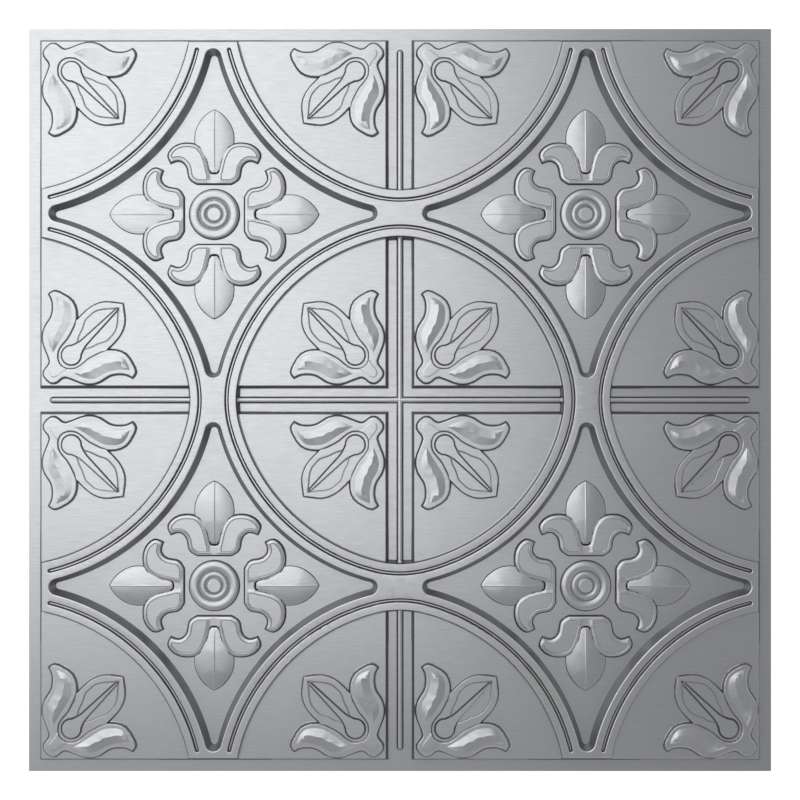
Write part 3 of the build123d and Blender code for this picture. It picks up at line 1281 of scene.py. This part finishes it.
    def rim(self, points: Points) -> list[list[int]]:
        """Triangles of the sheet's cut edge, between its two faces.

        Args:
            points: The points of both faces.

        Returns:
            The triangles, as three point numbers each.
        """
        half = self.relief.rings.sheet / 2
        on_edge = sorted(np.flatnonzero(points[:, 1] == 0.0).tolist(), key=lambda i: points[i, 0])
        upper = [i for i in on_edge if points[i, 2] > half]
        lower = [i for i in on_edge if points[i, 2] <= half]
        added = []
        while len(upper) > 1 or len(lower) > 1:
            if len(lower) == 1 or (len(upper) > 1 and points[upper[1], 0] <= points[lower[1], 0]):
                added.append([upper[0], lower[0], upper[1]])
                upper = upper[1:]
            else:
                added.append([upper[0], lower[0], lower[1]])
                lower = lower[1:]
        return added


@dataclass
class Layout:
    """Geometry Nodes tree that lays the three triangles out over the square."""

    pitch: float  # distance between two rings, in metres
    turns: int = 4  # quarters of the tile
    weld: float = 0.000004  # points of two triangles that are closer than this are one

    def tree(self) -> Tree:
        """Build the tree.

        Returns:
            A tree with named inputs for the triangles, the sizes and the finish.
        """
        tree = bpy.data.node_groups.new("tile_layout", "GeometryNodeTree")
        face = tree.interface
        face.new_socket("Geometry", in_out="INPUT", socket_type="NodeSocketGeometry")
        for name in ("Middle triangle", "Inner triangle", "Border triangle"):
            face.new_socket(name, in_out="INPUT", socket_type="NodeSocketObject")
        for name, kind in (("Pitch", "Float"), ("Turns", "Int"), ("Weld distance", "Float")):
            face.new_socket(name, in_out="INPUT", socket_type=f"NodeSocket{kind}")
        face.new_socket("Finish", in_out="INPUT", socket_type="NodeSocketMaterial")
        face.new_socket("Geometry", in_out="OUTPUT", socket_type="NodeSocketGeometry")
        given = tree.nodes.new("NodeGroupInput")
        octant = tree.nodes.new("GeometryNodeJoinGeometry")
        straight, quarter_turn = 0.0, 0.5
        places = [
            ("Middle triangle", (1, 1), straight, (0, 0)),
            ("Inner triangle", (-1, 1), straight, (1, 0)),
            ("Border triangle", (1, 1), quarter_turn, (1, 0)),
            ("Border triangle", (1, -1), -quarter_turn, (1, 1)),
        ]
        for name, scale, half_turns, steps in places:
            info = tree.nodes.new("GeometryNodeObjectInfo")
            tree.links.new(given.outputs[name], info.inputs["Object"])
            moved = self.moved(tree, info.outputs["Geometry"], scale, half_turns)
            where = tree.nodes.new("ShaderNodeVectorMath")
            where.operation = "SCALE"
            where.inputs[0].default_value = (*steps, 0.0)
            tree.links.new(given.outputs["Pitch"], where.inputs["Scale"])
            tree.links.new(where.outputs[0], moved.inputs["Translation"])
            tree.links.new(self.outward(tree, moved, scale), octant.inputs["Geometry"])
        across = (1, -1)
        twin = self.moved(tree, octant.outputs["Geometry"], across, quarter_turn)
        quarter = tree.nodes.new("GeometryNodeJoinGeometry")
        tree.links.new(octant.outputs["Geometry"], quarter.inputs["Geometry"])
        tree.links.new(self.outward(tree, twin, across), quarter.inputs["Geometry"])
        self.repeated(tree, given, quarter.outputs["Geometry"])
        return tree

    def moved(self, tree: Tree, source: Socket, scale: tuple[int, int], half_turns: float) -> bpy.types.Node:
        """Add a node that mirrors its geometry, then turns it.

        Args:
            tree: The tree that is added to.
            source: Socket that the geometry comes from.
            scale: Minus one along an axis that the geometry is mirrored along, and one otherwise.
            half_turns: The turn about Z, as a share of half a turn.

        Returns:
            The node, whose Translation is still free.
        """
        node = tree.nodes.new("GeometryNodeTransform")
        node.inputs["Scale"].default_value = (*scale, 1)
        node.inputs["Rotation"].default_value = (0, 0, math.pi * half_turns)
        tree.links.new(source, node.inputs["Geometry"])
        return node

    def outward(self, tree: Tree, node: bpy.types.Node, scale: tuple[int, int]) -> Socket:
        """Turn the faces of a mirrored copy outwards again.

        Args:
            tree: The tree that is added to.
            node: The node that moved the copy.
            scale: The scale that it was given.

        Returns:
            The socket that the outward faces come from.
        """
        if scale[0] * scale[1] > 0:
            return node.outputs["Geometry"]
        flip = tree.nodes.new("GeometryNodeFlipFaces")
        tree.links.new(node.outputs["Geometry"], flip.inputs["Mesh"])
        return flip.outputs["Mesh"]

    def repeated(self, tree: Tree, given: bpy.types.Node, quarter: Socket) -> None:
        """Turn the quarter about the tile's middle, weld the seams and set the finish.

        Args:
            tree: The tree that is added to.
            given: The tree's input node.
            quarter: Socket that the quarter of the tile comes from.
        """
        nodes, link = tree.nodes, tree.links.new
        spots = nodes.new("GeometryNodePoints")
        link(given.outputs["Turns"], spots.inputs["Count"])
        number = nodes.new("GeometryNodeInputIndex")
        angle = nodes.new("ShaderNodeMath")
        angle.operation = "MULTIPLY"
        angle.inputs[1].default_value = math.tau / self.turns
        link(number.outputs[0], angle.inputs[0])
        turn = nodes.new("ShaderNodeCombineXYZ")
        link(angle.outputs[0], turn.inputs["Z"])
        spread = nodes.new("GeometryNodeInstanceOnPoints")
        link(spots.outputs[0], spread.inputs["Points"])
        link(quarter, spread.inputs["Instance"])
        link(turn.outputs[0], spread.inputs["Rotation"])
        real = nodes.new("GeometryNodeRealizeInstances")
        link(spread.outputs["Instances"], real.inputs["Geometry"])
        weld = nodes.new("GeometryNodeMergeByDistance")
        link(real.outputs["Geometry"], weld.inputs["Geometry"])
        link(given.outputs["Weld distance"], weld.inputs["Distance"])
        finish = nodes.new("GeometryNodeSetMaterial")
        link(weld.outputs["Geometry"], finish.inputs["Geometry"])
        link(given.outputs["Finish"], finish.inputs["Material"])
        out = nodes.new("NodeGroupOutput")
        link(finish.outputs["Geometry"], out.inputs["Geometry"])


@dataclass(frozen=True)
class BrushedLines:
    """Shader group for fine brushed lines: masks that vary along and across the brushing."""

    grain_detail: float = 5.0
    grain_roughness: float = 0.75
    cloud_scale: float = 9.0
    cloud_detail: float = 2.0

    def build(self) -> bpy.types.ShaderNodeTree:
        """Make the group.

        Returns:
            A group with the inputs Vector, Lines and Reach and the outputs Grain and Cloud.
        """
        tree = bpy.data.node_groups.new("brushed_lines", "ShaderNodeTree")
        face = tree.interface
        face.new_socket("Vector", in_out="INPUT", socket_type="NodeSocketVector")
        for name in ("Lines", "Reach"):
            face.new_socket(name, in_out="INPUT", socket_type="NodeSocketFloat")
        for name in ("Grain", "Cloud"):
            face.new_socket(name, in_out="OUTPUT", socket_type="NodeSocketFloat")
        nodes, link = tree.nodes, tree.links.new
        given, out = nodes.new("NodeGroupInput"), nodes.new("NodeGroupOutput")
        scale = nodes.new("ShaderNodeCombineXYZ")
        link(given.outputs["Reach"], scale.inputs["X"])
        link(given.outputs["Lines"], scale.inputs["Y"])
        link(given.outputs["Lines"], scale.inputs["Z"])
        drawn_out = nodes.new("ShaderNodeVectorMath")
        drawn_out.operation = "MULTIPLY"
        link(given.outputs["Vector"], drawn_out.inputs[0])
        link(scale.outputs[0], drawn_out.inputs[1])
        grain = nodes.new("ShaderNodeTexNoise")
        grain.inputs["Scale"].default_value = 1.0
        grain.inputs["Detail"].default_value = self.grain_detail
        grain.inputs["Roughness"].default_value = self.grain_roughness
        link(drawn_out.outputs[0], grain.inputs["Vector"])
        link(grain.outputs["Fac"], out.inputs["Grain"])
        cloud = nodes.new("ShaderNodeTexNoise")
        cloud.inputs["Scale"].default_value = self.cloud_scale
        cloud.inputs["Detail"].default_value = self.cloud_detail
        link(given.outputs["Vector"], cloud.inputs["Vector"])
        link(cloud.outputs["Fac"], out.inputs["Cloud"])
        return tree


@dataclass(frozen=True)
class SilverFilm:
    """Brushed silver film on the tile's face, over plain grey plastic at its back and cut edge."""

    film: tuple[float, float, float] = (0.62, 0.63, 0.65)
    plastic: tuple[float, float, float] = (0.56, 0.56, 0.57)
    wall_shade_tone: float = 0.2  # painted shade: tone of the steepest walls, as a share
    edge_highlight_and_shade: float = 0.72  # painted highlight: how much a sharp edge brightens; painted shade: how much a sharp hollow darkens
    metallic: float = 0.85
    roughness: float = 0.36
    back_roughness: float = 0.22  # what the plastic's roughness has over the film's
    lines: float = 1250.0  # fineness across the brushing
    reach: float = 70.0  # and along it
    noise: tuple[float, float] = (0.3, 0.7)  # the part of the noise's range that is used
    grain_tone: tuple[float, float] = (0.89, 1.1)
    cloud_tone: tuple[float, float] = (0.98, 1.02)
    gloss_swing: float = 0.05
    line_strength: float = 0.32
    line_depth: float = 0.00005

    def build(self, group: bpy.types.ShaderNodeTree) -> bpy.types.Material:
        """Make the material.

        Args:
            group: The brushed-line group.

        Returns:
            The finished material.
        """
        material = bpy.data.materials.new(SLOT)
        material.use_nodes = True
        nodes, link = material.node_tree.nodes, material.node_tree.links.new
        shader = nodes["Principled BSDF"]
        place = nodes.new("ShaderNodeTexCoord")
        brushed = nodes.new("ShaderNodeGroup")
        brushed.node_tree = group
        brushed.inputs["Lines"].default_value = self.lines
        brushed.inputs["Reach"].default_value = self.reach
        link(place.outputs["Object"], brushed.inputs["Vector"])
        grain, front = brushed.outputs["Grain"], self.read(nodes, "film")
        film = nodes.new("ShaderNodeMix")
        film.data_type, film.blend_type = "RGBA", "MULTIPLY"
        film.inputs["Factor"].default_value = 1.0
        film.inputs["A"].default_value = (*self.film, 1.0)
        link(self.shade(nodes, link, brushed), film.inputs["B"])
        colour = nodes.new("ShaderNodeMix")
        colour.data_type = "RGBA"
        colour.inputs["A"].default_value = (*self.plastic, 1.0)
        link(front, colour.inputs["Factor"])
        link(film.outputs["Result"], colour.inputs["B"])
        link(colour.outputs["Result"], shader.inputs["Base Color"])
        rough, smooth = self.roughness + self.gloss_swing, self.roughness - self.gloss_swing
        gloss = self.ranged(nodes, link, grain, self.noise, (rough, smooth))
        back = self.maths(nodes, link, "SUBTRACT", 1.0, front)
        roughness = self.maths(nodes, link, "MULTIPLY_ADD", back, self.back_roughness, gloss)
        link(roughness, shader.inputs["Roughness"])
        link(self.maths(nodes, link, "MULTIPLY", front, self.metallic), shader.inputs["Metallic"])
        bump = nodes.new("ShaderNodeBump")
        bump.inputs["Strength"].default_value = self.line_strength
        bump.inputs["Distance"].default_value = self.line_depth
        link(grain, bump.inputs["Height"])
        link(bump.outputs["Normal"], shader.inputs["Normal"])
        return material

    def shade(self, nodes: bpy.types.Nodes, link: Link, brushed: bpy.types.Node) -> Socket:
        """Tone of the film: its brush lines, painted shade on its steep walls, painted highlights on its
        sharp edges and painted shade in its sharp hollows.

        Args:
            nodes: The material's nodes.
            link: The material's function that links two sockets.
            brushed: The brushed-line group's node.

        Returns:
            The socket that the tone comes from.
        """
        edges = (1.0 - self.edge_highlight_and_shade, 1.0 + self.edge_highlight_and_shade)
        shade = self.maths(
            nodes, link, "MULTIPLY",
            self.ranged(nodes, link, brushed.outputs["Grain"], self.noise, self.grain_tone),
            self.ranged(nodes, link, brushed.outputs["Cloud"], self.noise, self.cloud_tone),
        )
        # painted shade on the steep walls
        thin = self.ranged(nodes, link, self.read(nodes, "painted_wall_shade"), (0.0, 1.0), (1.0, self.wall_shade_tone))
        shade = self.maths(nodes, link, "MULTIPLY", shade, thin)
        # painted highlight on sharp edges and painted shade in sharp hollows
        edge_light_and_shade = self.ranged(nodes, link, self.read(nodes, "edge"), (-1.0, 1.0), edges)
        return self.maths(nodes, link, "MULTIPLY", shade, edge_light_and_shade)

    def read(self, nodes: bpy.types.Nodes, name: str) -> Socket:
        """Add a node that reads one of the mesh's attributes.

        Args:
            nodes: The material's nodes.
            name: Name of the attribute.

        Returns:
            The socket that its value comes from.
        """
        node = nodes.new("ShaderNodeAttribute")
        node.attribute_name = name
        return node.outputs["Fac"]

    def ranged(
        self, nodes: bpy.types.Nodes, link: Link, source: Socket,
        given: tuple[float, float], wanted: tuple[float, float],
    ) -> Socket:
        """Add a node that maps one range of a value onto another.

        Args:
            nodes: The material's nodes.
            link: The material's function that links two sockets.
            source: Socket that the value comes from.
            given: The range that it has.
            wanted: The range that it gets.

        Returns:
            The socket that the new value comes from.
        """
        node = nodes.new("ShaderNodeMapRange")
        for name, value in zip(("From Min", "From Max", "To Min", "To Max"), (*given, *wanted)):
            node.inputs[name].default_value = value
        link(source, node.inputs["Value"])
        return node.outputs["Result"]

    def maths(self, nodes: bpy.types.Nodes, link: Link, kind: str, *values: Socket | float) -> Socket:
        """Add a Math node.

        Args:
            nodes: The material's nodes.
            link: The material's function that links two sockets.
            kind: The node's operation.
            values: What it works on: sockets, which are linked, and numbers, which are set.

        Returns:
            The socket that the result comes from.
        """
        node = nodes.new("ShaderNodeMath")
        node.operation = kind
        for socket, value in zip(node.inputs, values):
            if isinstance(value, Socket):
                link(value, socket)
            else:
                socket.default_value = value
        return node.outputs[0]


@dataclass
class CeilingTile:
    """The tile itself, one closed sheet."""

    rings: RingPlan = field(default_factory=RingPlan)
    finish: SilverFilm = field(default_factory=SilverFilm)

    def build(self) -> bpy.types.Object:
        """Mesh the triangles, lay them out and give the sheet its finish.

        Returns:
            The tile's object.
        """
        material = self.finish.build(BrushedLines().build())
        triangles = {}
        for edge in Edge:
            triangle = PatternTriangle(Relief(edge, self.rings))
            triangles[edge] = triangle.build(f"triangle_{edge.value}")
        sheet = self.laid_out(triangles, material)
        self.face_normals(sheet.data)
        sheet.data.update()
        return sheet

    def laid_out(
        self, triangles: dict[Edge, bpy.types.Object], material: bpy.types.Material
    ) -> bpy.types.Object:
        """Run the layout tree on the triangles and keep its result as a plain mesh.

        Args:
            triangles: The three triangles, which are removed again.
            material: The tile's finish.

        Returns:
            The tile's object.
        """
        layout = Layout(self.rings.tile / 2 * MM)
        tree = layout.tree()
        carrier = bpy.data.objects.new("layout", bpy.data.meshes.new("layout"))
        collection = bpy.context.scene.collection
        for item in (carrier, *triangles.values()):
            collection.objects.link(item)
        modifier = carrier.modifiers.new("layout", "NODES")
        modifier.node_group = tree
        names = {item.name: item.identifier for item in tree.interface.items_tree if item.in_out == "INPUT"}
        for edge, triangle in triangles.items():
            modifier[names[f"{edge.value.capitalize()} triangle"]] = triangle
        modifier[names["Pitch"]] = layout.pitch
        modifier[names["Turns"]] = layout.turns
        modifier[names["Weld distance"]] = layout.weld
        modifier[names["Finish"]] = material
        graph = bpy.context.evaluated_depsgraph_get()
        mesh = bpy.data.meshes.new_from_object(
            carrier.evaluated_get(graph), preserve_all_data_layers=True, depsgraph=graph
        )
        carrier.modifiers.remove(modifier)
        for item in (carrier, *triangles.values()):
            bpy.data.objects.remove(item)
        mesh.name = PIECE
        sheet = bpy.data.objects.new(PIECE, mesh)
        collection.objects.link(sheet)
        return sheet

    def face_normals(self, mesh: bpy.types.Mesh) -> None:
        """Turn each corner's facing from its triangle's frame to the tile's, as its normal.

        Args:
            mesh: The tile's mesh, whose facing attribute is used up.
        """
        facing = np.empty(len(mesh.loops) * 3)
        mesh.attributes["facing"].data.foreach_get("vector", facing)
        facing = facing.reshape(-1, 3)
        middles = np.empty(len(mesh.polygons) * 3)
        mesh.polygons.foreach_get("center", middles)
        corners = 3
        middle = np.repeat(middles.reshape(-1, 3)[:, :2] / MM, corners, axis=0)
        outer = np.abs(middle) > self.rings.cell
        away = np.abs(np.abs(middle) - np.where(outer, self.rings.tile / 2, 0.0))
        sign = np.sign(middle) * np.where(outer, -1.0, 1.0)
        swapped = away[:, 1] > away[:, 0]
        turned = np.where(swapped[:, None], facing[:, 1::-1], facing[:, :2]) * sign
        normals = np.column_stack((turned, facing[:, 2]))
        mesh.polygons.foreach_set("use_smooth", [True] * len(mesh.polygons))
        mesh.normals_split_custom_set(normals.tolist())
        mesh.attributes.remove(mesh.attributes["facing"])


@dataclass
class Studio:
    """Camera over the tile, a white floor, and soft light from the upper left."""

    view_width: float = 0.6505
    camera_height: float = 1.0
    sensor: float = 36.0
    floor_size: float = 12.0
    floor_drop: float = 0.0002
    floor_tone: float = 0.8
    floor_roughness: float = 0.9
    floor_shine: float = 0.1
    floor_lift: float = 0.6  # what it shines by itself, to be seen as white
    passed_below: float = 0.012  # a ray shorter than this goes through the floor
    low_level: float = 0.85  # the world's light from the sides
    overhead_level: float = 0.18  # and from above
    low_until: float = 0.4  # height in a ball of radius one up to which it comes from the sides
    overhead_from: float = 0.8
    lamp_place: tuple[float, float, float] = (-1.09, 0.95, 2.0)
    lamp_size: tuple[float, float] = (2.6, 2.9)
    lamp_power: float = 31.6

    def build(self) -> None:
        """Set up the camera, the floor, the world and the lamp."""
        self.camera()
        self.floor()
        self.world()
        self.lamp()

    def camera(self) -> None:
        """Look straight down at the tile's middle."""
        data = bpy.data.cameras.new("camera")
        data.sensor_width = self.sensor
        data.lens = self.sensor * self.camera_height / self.view_width
        camera = bpy.data.objects.new("camera", data)
        camera.location = (0.0, 0.0, self.camera_height)
        bpy.context.scene.collection.objects.link(camera)
        bpy.context.scene.camera = camera

    def lamp(self) -> None:
        """Hang a soft rectangular lamp at the upper left, facing straight down."""
        data = bpy.data.lights.new("key_light", "AREA")
        data.shape = "RECTANGLE"
        data.size, data.size_y = self.lamp_size
        data.energy = self.lamp_power
        lamp = bpy.data.objects.new("key_light", data)
        lamp.location = self.lamp_place
        bpy.context.scene.collection.objects.link(lamp)

    def floor(self) -> None:
        """Lay a plain white floor that keeps the tile's shadow and lights its underside."""
        half = self.floor_size / 2
        mesh = bpy.data.meshes.new("floor")
        corners = [(-half, -half, 0), (half, -half, 0), (half, half, 0), (-half, half, 0)]
        mesh.from_pydata(corners, [], [(0, 1, 2, 3)])
        floor = bpy.data.objects.new("floor", mesh)
        floor.location.z = -self.floor_drop
        bpy.context.scene.collection.objects.link(floor)
        mesh.materials.append(self.floor_finish())

    def floor_finish(self) -> bpy.types.Material:
        """White for the camera and in the tile's reflections, and clear from below and close by.

        Returns:
            The finished material.
        """
        material = bpy.data.materials.new("white_floor")
        material.use_nodes = True
        nodes, link = material.node_tree.nodes, material.node_tree.links.new
        shader = nodes["Principled BSDF"]
        shader.inputs["Base Color"].default_value = (self.floor_tone, self.floor_tone, self.floor_tone, 1.0)
        shader.inputs["Roughness"].default_value = self.floor_roughness
        shader.inputs["Specular IOR Level"].default_value = self.floor_shine
        shader.inputs["Emission Color"].default_value = (1.0, 1.0, 1.0, 1.0)
        path = nodes.new("ShaderNodeLightPath")
        shown = nodes.new("ShaderNodeMath")
        shown.operation = "MAXIMUM"
        link(path.outputs["Is Camera Ray"], shown.inputs[0])
        link(path.outputs["Is Glossy Ray"], shown.inputs[1])
        lift = nodes.new("ShaderNodeMath")
        lift.operation = "MULTIPLY"
        lift.inputs[1].default_value = self.floor_lift
        link(shown.outputs[0], lift.inputs[0])
        link(lift.outputs[0], shader.inputs["Emission Strength"])
        close = nodes.new("ShaderNodeMath")
        close.operation = "LESS_THAN"
        close.inputs[1].default_value = self.passed_below
        link(path.outputs["Ray Length"], close.inputs[0])
        under = nodes.new("ShaderNodeNewGeometry")
        through = nodes.new("ShaderNodeMath")
        through.operation = "MAXIMUM"
        link(under.outputs["Backfacing"], through.inputs[0])
        link(close.outputs[0], through.inputs[1])
        clear = nodes.new("ShaderNodeBsdfTransparent")
        mix = nodes.new("ShaderNodeMixShader")
        link(through.outputs[0], mix.inputs["Fac"])
        link(shader.outputs[0], mix.inputs[1])
        link(clear.outputs[0], mix.inputs[2])
        link(mix.outputs[0], nodes["Material Output"].inputs["Surface"])
        return material

    def world(self) -> None:
        """Surround the tile with soft light that is weaker overhead, and show white behind it."""
        world = bpy.data.worlds.new("studio")
        bpy.context.scene.world = world
        world.use_nodes = True
        nodes, link = world.node_tree.nodes, world.node_tree.links.new
        back = nodes["Background"]
        back.inputs["Color"].default_value = (1.0, 1.0, 1.0, 1.0)
        place = nodes.new("ShaderNodeTexCoord")
        way = nodes.new("ShaderNodeSeparateXYZ")
        link(place.outputs["Generated"], way.inputs[0])
        overhead = nodes.new("ShaderNodeMapRange")
        overhead.interpolation_type = "SMOOTHSTEP"
        overhead.inputs["From Min"].default_value = self.low_until
        overhead.inputs["From Max"].default_value = self.overhead_from
        overhead.inputs["To Min"].default_value = self.low_level
        overhead.inputs["To Max"].default_value = self.overhead_level
        link(way.outputs["Z"], overhead.inputs["Value"])
        path = nodes.new("ShaderNodeLightPath")
        level = nodes.new("ShaderNodeMapRange")
        level.inputs["To Max"].default_value = 1.0
        link(overhead.outputs["Result"], level.inputs["To Min"])
        link(path.outputs["Is Camera Ray"], level.inputs["Value"])
        link(level.outputs["Result"], back.inputs["Strength"])


def main() -> None:
    """Build the tile and the studio, and report each piece."""
    logging.basicConfig(level=logging.INFO, format="%(name)s: %(message)s")
    bpy.context.scene.view_settings.view_transform = "Standard"
    Studio().build()
    tile = CeilingTile().build()
    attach(tile, "root")
    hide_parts(NODE)
    LOG.info("%s: %d faces", tile.name, len(tile.data.polygons))


if __name__ == "__main__":
    main()
